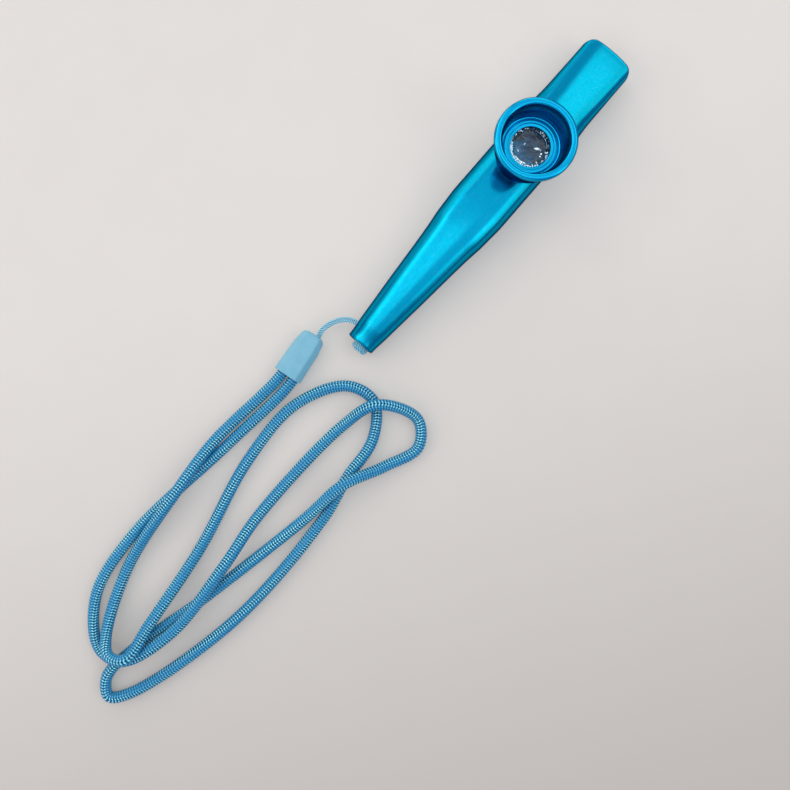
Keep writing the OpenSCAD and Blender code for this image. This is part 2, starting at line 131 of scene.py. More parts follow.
def skin_piece(name, points, along=None, caps=True, loop=False, sharp=None):
    """A piece through a grid of points, rows of closed rings. Face (r, c) joins its point to the next in
    the ring and to the two in the next row. along gives the UV map's second value for each row, and the
    first value runs from 0 to 1 round the ring. loop joins the last row to the first."""
    rows, columns = points.shape[:2]
    r, c = np.meshgrid(np.arange(rows if loop else rows - 1), np.arange(columns), indexing="ij")
    after_r, after_c = (r + 1) % rows, (c + 1) % columns
    corners = [(r, c), (r, after_c), (after_r, after_c), (after_r, c)]
    faces = np.stack([a * columns + b for a, b in corners], axis=-1).reshape(-1, 4).tolist()
    if caps and not loop:
        faces.append(list(range(columns))[::-1])
        faces.append([(rows - 1) * columns + k for k in range(columns)])
    mesh = bpy.data.meshes.new(name)
    mesh.from_pydata(points.reshape(-1, 3), [], faces)
    if along is not None:
        uv = np.stack([
            np.stack([(c + k) / columns, along[np.minimum(r + j, rows - 1)]], axis=-1)
            for j, k in ((0, 0), (0, 1), (1, 1), (1, 0))
        ], axis=2).reshape(-1)
        flat = np.zeros(2 * len(mesh.loops))
        flat[:len(uv)] = uv
        mesh.uv_layers.new(name="strand").data.foreach_set("uv", flat)
    mesh.shade_smooth()
    if sharp is not None:
        mesh.set_sharp_from_angle(angle=math.radians(sharp))
    piece = bpy.data.objects.new(name, mesh)
    bpy.context.scene.collection.objects.link(piece)
    return piece


def braid_radius(share, along):
    """The braid's radius: it dips between its columns, and in each column the stitches are waves that slant
    to one side, and in the next column to the other, so that each two columns form a row of chevrons."""
    column = stitch_columns * share
    slant = np.abs((column / 2) % 1 - 0.5) * 2 * stitch_slant
    ridge = np.sin(np.pi * column) ** 2
    wave = np.cos(2 * np.pi * (along / stitch_length + slant))
    return cord_diameter / 2 - column_relief * (1 - ridge) - stitch_relief * ridge * (1 - wave)


def new_finish(name, **even_values):
    """A new material, whose even values are set on its shader's own sockets."""
    material = bpy.data.materials.new(name)
    material.use_nodes = True
    for socket, value in even_values.items():
        material.node_tree.nodes["Principled BSDF"].inputs[socket.replace("_", " ")].default_value = value
    return material


def add_node(tree, kind, inputs=(), **settings):
    """A node whose inputs, by name or number, are linked to sockets or set to values."""
    node = tree.nodes.new("ShaderNode" + kind)
    for name, value in settings.items():
        setattr(node, name, value)
    for socket, value in dict(inputs).items():
        if isinstance(value, bpy.types.NodeSocket):
            tree.links.new(value, node.inputs[socket])
        else:
            node.inputs[socket].default_value = value
    return node


def calculate(tree, operation, *values):
    """The result of one sum on sockets and numbers."""
    return add_node(tree, "Math", enumerate(values), operation=operation).outputs[0]


def spread(tree, value, low, high):
    """A value brought from the range low to high to the range 0 to 1, by a smooth step."""
    return add_node(
        tree, "MapRange", {"Value": value, "From Min": low, "From Max": high}, interpolation_type="SMOOTHSTEP"
    ).outputs["Result"]


def at_least(tree, value, least):
    """A value from 0 to 1 brought to the range least to 1."""
    return calculate(tree, "MULTIPLY_ADD", value, 1 - least, least)


def mottle(tree, place, size, low=0.35, high=0.65, detail=2.0):
    """Soft blotches of about that size in metres, as a value from 0 to 1."""
    noise = add_node(tree, "TexNoise", {"Vector": place, "Scale": 1 / size, "Detail": detail})
    return spread(tree, noise.outputs[0], low, high)


def between(tree, share, first, second):
    """The colour a share of the way from the first one to the second."""
    colours = [c if isinstance(c, bpy.types.NodeSocket) else (*c, 1) for c in (first, second)]
    return add_node(tree, "Mix", {0: share, 6: colours[0], 7: colours[1]}, data_type="RGBA").outputs[2]


def dress(pieces, material, **varied):
    """Puts a material on pieces, after linking its shader's varied sockets. Relief is a pair: a height
    from 0 to 1, and the depth in metres that it stands for."""
    tree = material.node_tree
    shader = tree.nodes["Principled BSDF"]
    for socket, value in varied.items():
        if socket == "Relief":
            value = add_node(tree, "Bump", {"Height": value[0], "Distance": value[1]}).outputs[0]
            socket = "Normal"
        tree.links.new(value, shader.inputs[socket.replace("_", " ")])
    for piece in pieces:
        piece.data.materials.clear()
        piece.data.materials.append(material)


points_per_stitch = 3
cord_sides = points_per_stitch * stitch_columns
cord_line, cord_along = evenly_spaced(curve_through(neck_cord_route), stitch_length / points_per_stitch)
stitch_length = points_per_stitch * cord_along[1]
table_gap = 0.00005
cord_line[:, 2] = np.maximum(cord_line[:, 2], cord_diameter / 2 + table_gap)
cord_share = np.arange(cord_sides)[None] / cord_sides
neck_cord = skin_piece("neck_cord_braid", tube_rings(
    cord_line, braid_radius(cord_share, cord_along[:, None]), cord_sides,
    turn=2 * np.pi * cord_turns_per_metre * cord_along,
), cord_along)
cord_finish = new_finish("cord_braid", Roughness=0.33, Specular_IOR_Level=0.3)
tree = cord_finish.node_tree
place = add_node(tree, "TexCoord").outputs["Object"]
strand_u, strand_v = add_node(
    tree, "SeparateXYZ", {0: add_node(tree, "UVMap", uv_map="strand").outputs[0]}
).outputs[:2]
column = calculate(tree, "MULTIPLY", strand_u, stitch_columns)
zigzag = calculate(tree, "PINGPONG", column, 1)
stitch = calculate(tree, "COSINE", calculate(tree, "MULTIPLY", 2 * math.pi, calculate(
    tree, "MULTIPLY_ADD", zigzag, -stitch_slant, calculate(tree, "DIVIDE", strand_v, stitch_length)
)))
ridge = calculate(tree, "ABSOLUTE", calculate(tree, "SINE", calculate(tree, "MULTIPLY", column, math.pi)))
# Painted highlights on the stitches' crests and painted shade in the gaps between them are strong in two
# columns of four, weak in the others, and fade in blotches
family = calculate(tree, "COSINE", calculate(tree, "MULTIPLY", column, math.pi / 2))
highlight_family = at_least(tree, spread(tree, family, -0.9, 0.4), 0.35)
shade_family = at_least(tree, spread(tree, family, -0.3, 0.7), 0.3)
blotch_size = 0.009
shown = at_least(tree, mottle(tree, place, blotch_size), 0.75)
on_crest = spread(tree, calculate(tree, "MULTIPLY", stitch, ridge), 0.05, 0.65)
painted_crest_highlight = calculate(tree, "MULTIPLY", on_crest, calculate(tree, "MULTIPLY", shown, highlight_family))
stitch_height = calculate(tree, "MULTIPLY_ADD", stitch, 0.5, calculate(tree, "MULTIPLY", ridge, 0.9))
in_gap = spread(tree, stitch_height, 0.7, 0.1)
painted_gap_shade = calculate(tree, "MULTIPLY", in_gap, calculate(tree, "MULTIPLY", shown, shade_family))
ground = between(tree, painted_gap_shade, cord_colour, cord_gap_shade_colour)
filament_size, filament_relief = 0.00012, 0.00003
dress(
    [neck_cord], cord_finish, Base_Color=between(tree, painted_crest_highlight, ground, cord_highlight_colour),
    Relief=(mottle(tree, place, filament_size, 0.3, 0.7), filament_relief),
)
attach(neck_cord, "kazoo")
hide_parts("neck_cord")


# The ferrule
# Moulded in pale blue plastic with softened edges: a broad flat above and below, a bevel along each
# side, a pocket for both ends of the cord, and a small hole for the string.
ferrule_place = (-0.0815, 0.0107)
ferrule_turn = math.radians(7)
ferrule_length, ferrule_width, ferrule_tip_width = 0.0154, 0.0094, 0.0072
ferrule_height, ferrule_tip_height = 0.0058, 0.005
ferrule_round = 0.0015
shoulder_share, shoulder_width_share = 0.68, 0.94
flat_share, side_share = 0.6, 0.3
mouth_round = 0.0003
pocket_half, pocket_radius, pocket_depth = 0.0019, 0.00195, 0.0064
string_hole_across, string_hole_radius, string_hole_ends = -0.0013, 0.0009, (0.006, 0.017)
past_end = 0.001


def combine(piece, other, operation):
    """The piece with another closed piece joined to it or cut from it, and the other one removed."""
    step = piece.modifiers.new("combine", "BOOLEAN")
    step.object = other
    step.operation = operation
    step.solver = "EXACT"
    result = bpy.data.meshes.new_from_object(
        piece.evaluated_get(bpy.context.evaluated_depsgraph_get())
    )
    piece.modifiers.clear()
    piece.data = result
    bpy.data.objects.remove(other)


def soft_polygon(angle, half_width, half_height, softness=26.0):
    """How far an eight-sided section reaches at each angle: one over the power mean of the reach of its
    faces, so that a high softness power gives small rounded corners."""
    y, z = np.abs(np.cos(angle)), np.abs(np.sin(angle))
    bevel = (half_height * (1 - side_share) * y + half_width * (1 - flat_share) * z) / (
        half_width * half_height * (1 - side_share * flat_share)
    )
    faces = (y / half_width) ** softness + (z / half_height) ** softness + bevel**softness
    return faces ** (-1 / softness)


def ferrule_points(at, inset, columns=120):
    """Rings of the ferrule in its own frame: the sides run nearly parallel and then draw in to the tip."""
    share = at / ferrule_length
    width = np.interp(
        share, [0, shoulder_share, 1],
        [ferrule_width, ferrule_width * shoulder_width_share, ferrule_tip_width],
    )
    height = ferrule_height + (ferrule_tip_height - ferrule_height) * share
    half_width = (width / 2 - inset)[:, None]
    half_height = (height / 2 - inset / 2)[:, None]
    angle = np.arange(columns)[None] * 2 * np.pi / columns
    y, z = np.cos(angle) * half_width, np.sin(angle) * half_height
    turned = np.arctan2(z, y)
    reach = soft_polygon(turned, half_width, half_height)
    return np.stack([at[:, None] + 0 * angle, reach * np.cos(turned), reach * np.sin(turned)], axis=-1)


def in_place(points):
    """Points of the ferrule's own frame, turned and moved to where it lies."""
    turn = np.array(Matrix.Rotation(ferrule_turn, 3, "Z"))
    return points @ turn.T + np.array([*ferrule_place, ferrule_height / 2])


tip_angle = np.linspace(0, np.pi / 2, 12)
ferrule_at = np.concatenate([
    mouth_round * (1 - np.sin(tip_angle[::-1])),
    np.linspace(2 * mouth_round, ferrule_length - ferrule_round, 24),
    ferrule_length - ferrule_round * (1 - np.sin(tip_angle[1:])),
])
ferrule_inset = np.concatenate([
    mouth_round * (1 - np.cos(tip_angle[::-1])), np.zeros(24), ferrule_round * (1 - np.cos(tip_angle[1:])),
])
ferrule = skin_piece("ferrule_moulded", in_place(ferrule_points(ferrule_at, ferrule_inset)), sharp=50)


def cut_out(piece, ends, across, radius, sides=48):
    """Cuts a round hole along the ferrule, between two ends and as far across as given."""
    angle = np.arange(sides) * 2 * np.pi / sides
    rows = np.array(ends)[:, None] + 0 * angle
    hole = np.stack([
        rows, across + radius * np.cos(angle) + 0 * rows, radius * np.sin(angle) + 0 * rows
    ], axis=-1)
    combine(piece, skin_piece("hole", in_place(hole)), "DIFFERENCE")


for side in (-1, 1):
    cut_out(ferrule, (-past_end, pocket_depth), side * pocket_half, pocket_radius)
cut_out(ferrule, string_hole_ends, string_hole_across, string_hole_radius)
ferrule.data.shade_smooth()
ferrule.data.set_sharp_from_angle(angle=math.radians(50))
ferrule_finish = new_finish("ferrule_plastic", Roughness=0.42, Specular_IOR_Level=0.35)
tree = ferrule_finish.node_tree
place = add_node(tree, "TexCoord").outputs["Object"]
flow = mottle(tree, place, 0.004, 0.3, 0.7)
speck = mottle(tree, place, 0.0003, 0.66, 0.74, detail=0.0)
ferrule_colour = between(tree, flow, (0.19, 0.46, 0.6), (0.22, 0.49, 0.64))
dress(
    [ferrule], ferrule_finish, Base_Color=between(tree, speck, ferrule_colour, (0.16, 0.42, 0.53)),
    Roughness=calculate(tree, "MULTIPLY_ADD", flow, 0.1, 0.38),
    Relief=(mottle(tree, place, 0.00035, 0.2, 0.8), 0.00001),
)
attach(ferrule, "kazoo")
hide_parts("ferrule")


# The string and its knots
# A thin twisted string, doubled: its bight is knotted inside the ferrule, and its two ends go in through
# the hole in the tube's side, back to the open end and into a wound stopper knot.
strand_diameter = 0.0008
strand_gap = 0.00042
strand_plies = 3
ply_lay = 0.0024
ply_relief = 0.00004
# The first colour here is painted shade in the grooves between the plies
string_groove_shade_colour = (0.004, 0.09, 0.22)
string_light_colour = (0.27, 0.66, 0.82)
# The knot's core is painted dark, as the shade deep in the gaps between the winding's turns
core_deep_shade_colour, core_pale_shade_colour = (0.001, 0.03, 0.1), (0.005, 0.08, 0.2)
string_route = 0.001 * np.array([
    (-71, 10.7, 2.9), (-66, 11.3, 2.9), (-63.6, 11.8, 3.1), (-60.6, 11.2, 3.6), (-57.6, 9.6, 4.1),
    (-55.5, 7.2, 4.4), (-54.8, 4.4, 4.5), (-55.6, 1.4, 4.4), (-56.8, -0.7, 4.4), (-57.8, -0.7, 4.4),
])
bight_radius = 0.0011
bight_reach = 0.0016
knot_turns = 4.6
core_short = 0.0005


def doubled_line(middle, painted_gap_shade):
    """Both strands of a doubled line as one path: along middle on one side, round a half circle before its
    start, and back along middle on the other side. The strands lie gap to each side of the middle."""
    along = np.gradient(middle, axis=0)
    along /= np.linalg.norm(along, axis=1)[:, None]
    across = np.cross((0, 0, 1), along)
    across /= np.linalg.norm(across, axis=1)[:, None]
    turn = np.linspace(-np.pi / 2, np.pi / 2, 15)[:, None]
    start = middle[0] - bight_reach * along[0]
    bight = start + bight_radius * (-np.cos(turn) * along[0] + np.sin(turn) * across[0])
    return np.vstack([(middle - painted_gap_shade * across)[::-1], bight, middle + painted_gap_shade * across])


def strand_piece(name, line, along, level=(0, 0, 1)):
    """One twisted strand: its radius swells at each ply, by a wave that winds round it once a lay."""
    share = np.arange(6 * strand_plies)[None] / (6 * strand_plies)
    wave = np.cos(2 * np.pi * strand_plies * (share - along[:, None] / ply_lay))
    return skin_piece(name, tube_rings(
        line, strand_diameter / 2 - ply_relief / 2 * (1 - wave), 6 * strand_plies, level
    ), along)


string_middle = evenly_spaced(curve_through(string_route), 0.0004)[0]
strand_line, strand_along = evenly_spaced(doubled_line(string_middle, strand_gap), 0.00012)
string = strand_piece("string_strands", strand_line, strand_along)

knot_low, knot_high = (np.array(corner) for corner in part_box("tail_knot"))
knot_middle = (knot_low + knot_high) / 2
knot_length = knot_high[0] - knot_low[0]
knot_radius = (knot_high[2] - knot_low[2]) / 2
turn_share = np.linspace(0, 1, 260)
winding_angle = 2 * np.pi * knot_turns * turn_share
# The winding draws in at both ends of the knot and closes over them
winding_swell = 1 - 0.72 * np.abs(2 * turn_share - 1) ** 7
winding_radius = (knot_radius - strand_diameter / 2) * winding_swell
winding = np.stack([
    knot_low[0] + strand_diameter / 2 + (knot_length - strand_diameter) * turn_share,
    knot_middle[1] + winding_radius * np.cos(winding_angle),
    knot_middle[2] + winding_radius * np.sin(winding_angle),
], axis=1)
winding, winding_along = evenly_spaced(winding, 0.00014)
knot_winding = strand_piece("tail_knot_winding", winding, winding_along, level=(1, 0, 0))
core_share = np.linspace(0, 1, 25)
core_radius = (knot_radius - 0.7 * strand_diameter) * np.sqrt(np.maximum(1 - (2 * core_share - 1) ** 4, 0.02))
core_line = np.stack([
    knot_low[0] + core_short + (knot_length - 2 * core_short) * core_share,
    np.full(25, knot_middle[1]), np.full(25, knot_middle[2]),
], axis=1)
knot_core = skin_piece("tail_knot_core", tube_rings(core_line, core_radius, 28), core_line[:, 0])
string_finish = new_finish("twisted_string", Roughness=0.38)
tree = string_finish.node_tree
place = add_node(tree, "TexCoord").outputs["Object"]
strand_u, strand_v = add_node(
    tree, "SeparateXYZ", {0: add_node(tree, "UVMap", uv_map="strand").outputs[0]}
).outputs[:2]
ply_turn = calculate(tree, "SUBTRACT", strand_u, calculate(tree, "DIVIDE", strand_v, ply_lay))
ply = calculate(tree, "COSINE", calculate(tree, "MULTIPLY", ply_turn, 2 * math.pi * strand_plies))
# Painted shade darkens the string in the grooves between its plies
string_colour = between(tree, spread(tree, ply, -1.0, -0.1), string_groove_shade_colour, string_light_colour)
hidden_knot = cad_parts["ferrule_knot"]
dress(
    [string, knot_winding, hidden_knot], string_finish, Base_Color=string_colour,
    Relief=(mottle(tree, place, 0.00006, 0.3, 0.7), 0.000015),
)
# The core's dark blues are painted shade, standing for the dark deep inside the winding
core_shade_finish = new_finish("string_core_shade", Roughness=0.6)
tree = core_shade_finish.node_tree
fibre = mottle(tree, add_node(tree, "TexCoord").outputs["Object"], 0.0001, 0.3, 0.7)
dress([knot_core], core_shade_finish, Base_Color=between(tree, fibre, core_deep_shade_colour, core_pale_shade_colour))
for piece in (string, knot_winding, knot_core):
    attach(piece, "kazoo")
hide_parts("string")
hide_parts("tail_knot")
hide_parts("tail_knot")


# The body
# One drawn and pressed aluminium tube: round at the small open end, swelling to a flat-bottomed belly
# with a neck drawn up for the cup, and pressed flat for the lips. It is polished, dyed and anodised.
tube_low, tube_high = (np.array(corner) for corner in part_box("body_tube"))
tail_x, mouth_x = tube_low[0], tube_high[0]
cup_low, cup_high = (np.array(corner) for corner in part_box("resonator_cup"))
turret_x = (cup_low[0] + cup_high[0]) / 2
tail_diameter = 0.0092
belly_width = tube_high[1] - tube_low[1]
belly_height = 0.013
mouth_width = 0.0173
mouth_height = 0.0074
mouth_lift = 0.0022
mouth_corner = 0.003
mouth_end_radius = 0.090
mouth_end_length = 0.008
wall = 0.0009
belly_flat = 0.00035
tail_flat = 0.00015
belly_start_share = 0.72
# How far the tube has swelled between its tail and belly_start_share of the way to the turret, and been
# pressed between the turret and the mouthpiece. A row is a share of that length, the share that the width
# has changed by there, and the share that the other sizes have changed by.
tail_shares = np.array([
    (0, 0, 0), (0.12, 0.125, 0.12), (0.25, 0.255, 0.25), (0.38, 0.39, 0.39), (0.51, 0.51, 0.53),
    (0.64, 0.63, 0.68), (0.75, 0.75, 0.81), (0.84, 0.88, 0.91), (0.92, 0.945, 0.97), (1, 1, 1),
])
mouth_shares = np.array([
    (0, 0, 0), (0.2, 0.03, 0.06), (0.32, 0.18, 0.18), (0.4, 0.48, 0.29), (0.46, 0.72, 0.39),
    (0.54, 0.84, 0.52), (0.68, 0.9, 0.72), (0.8, 0.98, 0.86), (0.9, 1, 0.95), (1, 1, 1),
])
# A section: half width, half height, height of its middle, and the power of its superellipse
tail_section = np.array([tail_diameter / 2, tail_diameter / 2, tail_diameter / 2 - tail_flat, 2.0])
belly_section = np.array([
    belly_width / 2, (belly_height + belly_flat) / 2, (belly_height - belly_flat) / 2, 2.5
])
mouth_section = np.array([mouth_width / 2, mouth_height / 2, mouth_lift + mouth_height / 2, 3.0])


def smooth_through(at, places, values):
    """A cubic through each pair of values, whose slopes there are those of the chords to both sides."""
    slope = np.gradient(values, places)
    slope[0] = slope[-1] = 0
    k = np.clip(np.searchsorted(places, at) - 1, 0, len(places) - 2)
    step = places[k + 1] - places[k]
    t = np.clip((at - places[k]) / step, 0, 1)
    return (
        (2 * t**3 - 3 * t**2 + 1) * values[k] + (t**3 - 2 * t**2 + t) * step * slope[k]
        + (3 * t**2 - 2 * t**3) * values[k + 1] + (t**3 - t**2) * step * slope[k + 1]
    )


def body_section_at(x):
    """The section's four sizes at each x: from the tail's to the belly's, and on to the mouthpiece's."""
    before, after = (x - tail_x) / (turret_x - tail_x), (x - turret_x) / (mouth_x - turret_x)
    grown = [smooth_through(before / belly_start_share, tail_shares[:, 0], tail_shares[:, k]) for k in (1, 2)]
    pressed = [smooth_through(after, mouth_shares[:, 0], mouth_shares[:, k]) for k in (1, 2)]
    return np.stack([
        tail_section[k] + (belly_section[k] - tail_section[k]) * grown[0 if k == 0 else 1]
        + (mouth_section[k] - belly_section[k]) * pressed[0 if k == 0 else 1]
        for k in range(4)
    ], axis=1)


def body_points(x, inset, columns=144):
    """Rings of the body: a superellipse in each section, taken in by inset, flat on the table, and drawn
    back at the mouthpiece's end to its rounded, slightly convex outline."""
    half_width, half_height, middle, power = (size[:, None] for size in body_section_at(x).T)
    angle = (np.arange(columns) + 0.5)[None] * 2 * np.pi / columns
    reach = (np.abs(np.cos(angle)) ** power + np.abs(np.sin(angle)) ** power) ** (-1 / power)
    y = (half_width - inset[:, None]) * reach * np.cos(angle)
    z = np.maximum(middle + (half_height - inset[:, None]) * reach * np.sin(angle), inset[:, None])
    past_corner = np.clip(np.abs(y) - (mouth_width / 2 - mouth_corner), 0, mouth_corner)
    drawn_back = (
        mouth_corner - np.sqrt(np.maximum(mouth_corner**2 - past_corner**2, 0)) + y**2 / 2 / mouth_end_radius
    )
    share = np.clip((x[:, None] - (mouth_x - mouth_end_length)) / mouth_end_length, 0, 1)
    return np.stack([x[:, None] - share * drawn_back, y, z], axis=-1)


rim_angle = np.linspace(0, np.pi, 9)
tail_rim = tail_x + wall / 2 * (1 - np.sin(rim_angle))
mouth_rim = mouth_x - wall / 2 * (1 - np.sin(rim_angle))
outside_x = np.linspace(tail_x + wall / 2, mouth_x - wall / 2, 301)[1:-1]
body_x = np.concatenate([outside_x, mouth_rim, outside_x[::-3], tail_rim])
rim_inset = wall / 2 * (1 - np.cos(rim_angle))
body_inset = np.concatenate([
    np.zeros(len(outside_x)), rim_inset, np.full(len(outside_x[::-3]), wall), rim_inset[::-1]
])
body = skin_piece("body_shell", body_points(body_x, body_inset), loop=True)


def turned_rings(profile, centre, segments=144):
    """A profile of (radius, height) points turned about a vertical line through centre."""
    angle = np.arange(segments)[None] * 2 * np.pi / segments
    radius, height = profile[:, 0][:, None], profile[:, 1][:, None]
    return np.stack([
        centre[0] + radius * np.cos(angle), centre[1] + radius * np.sin(angle), height + 0 * angle
    ], axis=-1)


neck_radius = 0.009
neck_bore = 0.0074
neck_inside = 0.004
neck_bevel = 0.0002
neck_top = tube_high[2]
neck_foot = 0.0092
neck_profile = np.array([
    (neck_radius, neck_foot), (neck_radius, neck_top - neck_bevel), (neck_radius - neck_bevel, neck_top),
    (neck_inside, neck_top), (neck_inside, neck_foot),
])
turret = (turret_x, 0.0)
neck = skin_piece("neck", turned_rings(neck_profile, turret)[:, ::-1], loop=True)
combine(body, neck, "UNION")
bore_profile = np.array([(neck_bore, neck_foot - 0.001), (neck_bore, neck_top + 0.001)])
bore = skin_piece("bore", turned_rings(bore_profile, turret))
combine(body, bore, "DIFFERENCE")
string_hole_x, body_hole_radius = -0.0548, 0.0012
hole_line = np.array([(string_hole_x, y, tail_section[2]) for y in (0.001, 0.004, 0.009)])
hole = skin_piece("hole", tube_rings(hole_line, body_hole_radius, 32))
combine(body, hole, "DIFFERENCE")
body.data.shade_smooth()
body.data.set_sharp_from_angle(angle=math.radians(32))
dye_blotch_size = 0.0009
dyed_edge_tint = (0.0, 0.05, 0.12, 1)
body_finish = new_finish("anodised_body", Metallic=1.0, Specular_Tint=dyed_edge_tint)


def dyed_metal(tree, place, streaks):
    """The colour, roughness and relief of dyed and anodised metal: two close blues in soft blotches, a few
    paler specks, and polishing streaks."""
    blotch = mottle(tree, place, dye_blotch_size, 0.3, 0.7, detail=4.0)
    speck = mottle(tree, place, 0.0002, 0.72, 0.78, detail=0.0)
    dye = between(tree, blotch, (0.001, 0.295, 0.475), (0.0015, 0.31, 0.49))
    return {
        "Base_Color": between(tree, speck, dye, (0.06, 0.4, 0.56)),
        "Roughness": calculate(tree, "MULTIPLY_ADD", streaks, 0.05, 0.16),
        "Relief": (streaks, 0.0000012),
    }


tree = body_finish.node_tree
place = add_node(tree, "TexCoord").outputs["Object"]
drawn_out = add_node(tree, "Mapping", {0: place, "Scale": (0.05, 1, 1)}).outputs[0]
streak_width = 0.0003
dress([body], body_finish, **dyed_metal(tree, place, mottle(tree, drawn_out, streak_width, 0.3, 0.7)))
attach(body, "kazoo")
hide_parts("body_tube")


# The collar and the gasket
# The collar is turned from bare aluminium and pressed into the neck. Its outside thread holds the cup,
# and a thin rubber ring lies on its rim under the film.
collar_finish = new_finish("turned_aluminium", Metallic=1.0, Roughness=0.3)


def turning_lines(tree, pitch):
    """Fine lines round the cup's axis, as a value from 0 to 1: noise that varies only with the distance
    from the axis and with the height."""
    place = add_node(tree, "TexCoord").outputs["Object"]
    centred = add_node(tree, "Mapping", {0: place, "Location": (-turret_x, 0, 0)}).outputs[0]
    x, y, z = add_node(tree, "SeparateXYZ", {0: centred}).outputs[:3]
    level = add_node(tree, "CombineXYZ", {0: x, 1: y}).outputs[0]
    radius = add_node(tree, "VectorMath", {0: level}, operation="LENGTH").outputs["Value"]
    turned = add_node(tree, "CombineXYZ", {0: radius, 2: z}).outputs[0]
    return mottle(tree, turned, pitch, 0.3, 0.7)


tree = collar_finish.node_tree
collar_line_pitch = 0.0001
lines = turning_lines(tree, collar_line_pitch)
dress(
    [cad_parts["turret_collar"]], collar_finish,
    Base_Color=between(tree, lines, (0.62, 0.63, 0.65), (0.76, 0.77, 0.78)), Relief=(lines, 0.000004),
)
rubber_finish = new_finish("gasket_rubber", Roughness=0.8, Specular_IOR_Level=0.3)
tree = rubber_finish.node_tree
bloom = mottle(tree, add_node(tree, "TexCoord").outputs["Object"], 0.0006, 0.3, 0.7)
dress(
    [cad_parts["gasket_ring"]], rubber_finish,
    Base_Color=between(tree, bloom, (0.04, 0.04, 0.045), (0.075, 0.075, 0.08)), Relief=(bloom, 0.00001),
)


# The film
# A disc of thin clear plastic under the cup, with a ring bonded to its edge. It was crinkled as the cup
# pressed it down, so that it has broad folds, pleats from its edge, and creases with painted white glints and
# folds with painted shade.
film_low, film_high = (np.array(corner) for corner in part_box("diaphragm_film"))
film_radius = (film_high[0] - film_low[0]) / 2
film_level = (film_high[2] + film_low[2]) / 2
film_thickness = 0.00004
fine_rows_start, fine_rows_end = 0.0042, 0.0062
clamped_radius, clamp_fade = 0.0063, 0.0003
pleat_start, pleat_length, pleat_height = 0.0036, 0.002, 0.0001
fold_height, crease_height = 0.000025, 0.00003
pleats, fine_folds = np.random.default_rng(7), np.random.default_rng(3)
# Creases with painted glints and folds with painted shade: a heading in degrees, a distance from the middle,
# a length and a width in millimetres
glint_creases = (
    (118, 5.5, 0.5, 0.3), (134, 5.6, 0.8, 0.35), (150, 5.6, 0.4, 0.2), (163, 5.6, 1.1, 0.2),
    (172, 5.0, 0.9, 0.17), (184, 5.55, 1.1, 0.2), (197, 4.95, 0.8, 0.18), (208, 5.5, 0.8, 0.26),
    (226, 5.7, 0.4, 0.14), (237, 5.7, 0.3, 0.3), (243, 4.9, 0.25, 0.32), (262, 5.6, 0.4, 0.14),
    (284, 5.6, 0.5, 0.3), (292, 4.9, 0.2, 0.12), (281, 3.9, 0.24, 0.2), (270, 4.1, 0.12, 0.25),
    (301, 2.1, 0.28, 0.75), (318, 5.1, 0.9, 0.08), (345, 5.2, 1.2, 0.07), (12, 5.3, 0.9, 0.07),
    (29, 5.75, 0.3, 0.2), (46, 5.8, 0.3, 0.25), (69, 5.75, 0.3, 0.2), (88, 5.7, 0.5, 0.14),
    (103, 5.75, 0.3, 0.16),
)
faint_glint_creases = ((296, 3.3, 0.25, 0.1), (145, 3.6, 0.5, 0.12), (95, 1.9, 0.5, 0.12))
fold_wedge_painted_shade = ((82, 5.0, 0.2, 0.6), (80, 4.3, 0.28, 0.6), (77, 3.6, 0.22, 0.6), (73, 3.0, 0.13, 0.6))


def crinkle_height(radius, angle):
    """How far the film stands off its level: broad folds across it, made of waves with sharp crests, and
    pleats that run in from its edge at uneven steps."""
    x, y = radius * np.cos(angle), radius * np.sin(angle)
    height = 0 * x
    for _ in range(6):
        heading, wave, phase = pleats.uniform(0, np.pi), pleats.uniform(0.003, 0.007), pleats.uniform(0, 6.3)
        run = (x * np.cos(heading) + y * np.sin(heading)) / wave * 2 * np.pi
        height += fold_height * (1 - 2 * np.abs(np.sin(run / 2 + phase)))
    edge = np.clip((radius - pleat_start) / pleat_length, 0, 1) ** 1.5
    for count, lean in ((17, 300), (26, -500), (41, 700)):
        bend = 0.35 * np.sin(3 * angle + pleats.uniform(0, 6.3))
        run = count * (angle + bend) / 2 + lean * radius + pleats.uniform(0, 6.3)
        height += pleat_height * edge * (1 - 2 * np.abs(np.sin(run)))
    return height


def streak(radius, angle, heading, reach, length, width):
    """One crease that runs round the film: a bell curve across and another along it. Heading is its place
    round the film in degrees."""
    along = (np.mod(angle - math.radians(heading) + np.pi, 2 * np.pi) - np.pi) * reach
    return np.exp(-((along / length) ** 2) - ((radius - reach) / width) ** 2)


def crease_glints_and_shade(radius, angle):
    """How strong a crease's painted white glint is, from 0 to 1: long streaks near its edge, short ones
    beside them, and a few blisters further in. Less than 0 is how strong a fold's painted shade is."""
    marks = 0 * radius
    for creases, strength in ((glint_creases, 1), (faint_glint_creases, 0.45), (fold_wedge_painted_shade, -1.2)):
        for heading, reach, length, width in creases:
            marks += strength * streak(
                radius, angle, heading, 0.001 * reach, 0.001 * length, 0.001 * width
            )
    for _ in range(46):
        heading, reach = pleats.uniform(0, 360), pleats.uniform(0.0051, 0.006)
        length, width = pleats.uniform(0.0001, 0.0003), pleats.uniform(0.0001, 0.0002)
        marks += streak(radius, angle, heading, reach, length, width)
    for count, first, last, low, high, length, width in (
        (24, 5, 115, 0.005, 0.0058, 0.00009, 0.0005), (12, 225, 300, 0.004, 0.0056, 0.00018, 0.0003),
    ):
        for _ in range(count):
            heading = pleats.uniform(first, last)
            marks -= streak(radius, angle, heading, pleats.uniform(low, high), length, width)
    for _ in range(26):
        heading, reach = fine_folds.uniform(290, 370), fine_folds.uniform(0.0036, 0.0058)
        marks -= streak(radius, angle, heading, reach, fine_folds.uniform(0.0003, 0.0009), 0.00009)
    return np.clip(marks, -1, 1)


